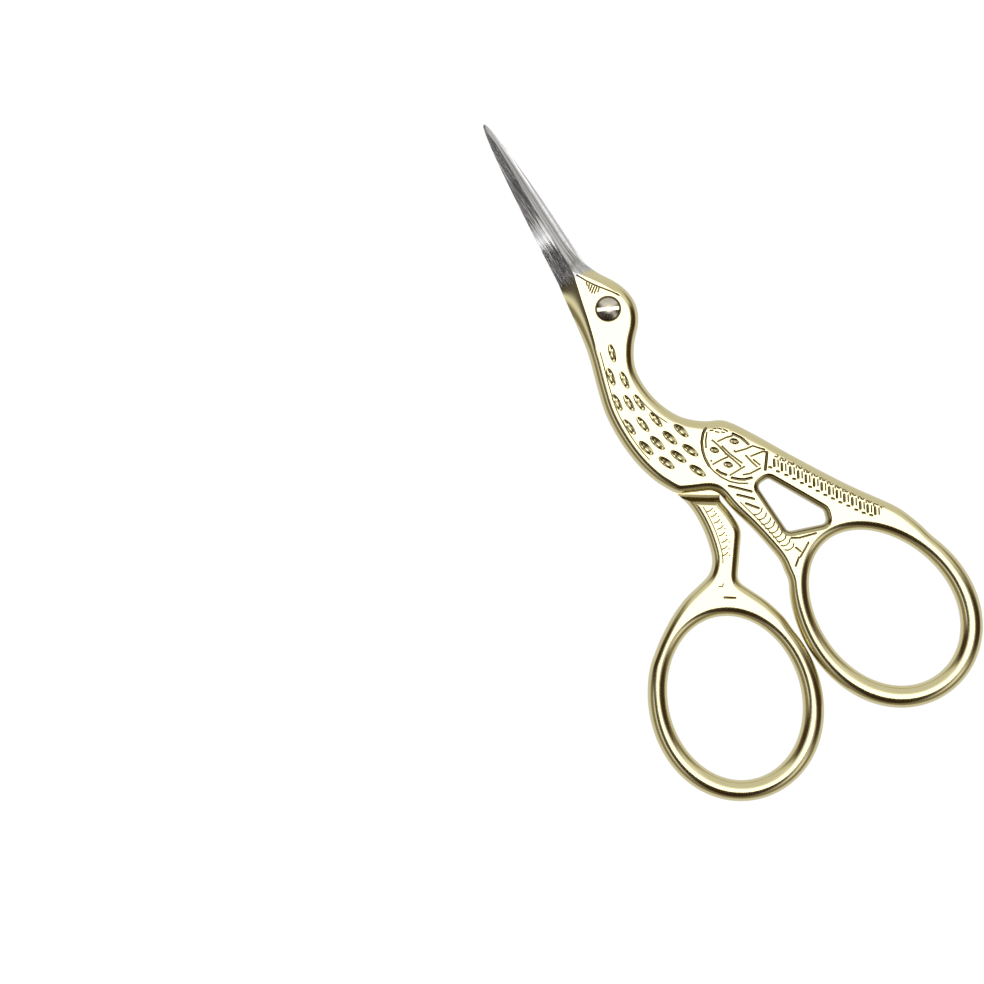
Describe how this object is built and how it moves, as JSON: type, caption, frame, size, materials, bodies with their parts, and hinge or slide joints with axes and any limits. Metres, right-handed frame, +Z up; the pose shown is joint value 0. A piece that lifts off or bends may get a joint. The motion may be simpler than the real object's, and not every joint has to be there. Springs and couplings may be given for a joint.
{
  "type": "stork embroidery scissors",
  "caption": "Fine-pointed embroidery scissors shaped like a standing stork, two gold-plated steel halves turning on a slotted screw.",
  "frame": {"origin": "where the pivot axis meets the surface that the closed scissors lie on", "axes": "+Y along the closed blades to the tips, +X to the side of the stork's back and tail, +Z up out of the face with the screw's head"},
  "size_m": [0.0556, 0.115, 0.004],
  "materials": {
    "rear_plate_gold": "polished",
    "front_plate_gold": "polished",
    "screw_steel": "satin"
  },
  "bodies": {
    "rear_half": {"rear_half": "rear_plate_gold", "pivot_screw": "screw_steel"},
    "front_half": {"front_half": "front_plate_gold"}
  },
  "joints": [
    {"name": "pivot", "type": "hinge", "parent": "rear_half", "child": "front_half", "pos_m": [0, 0, 0.0019], "axis": [0, 0, 1], "range_deg": [0, 80]}
  ]
}
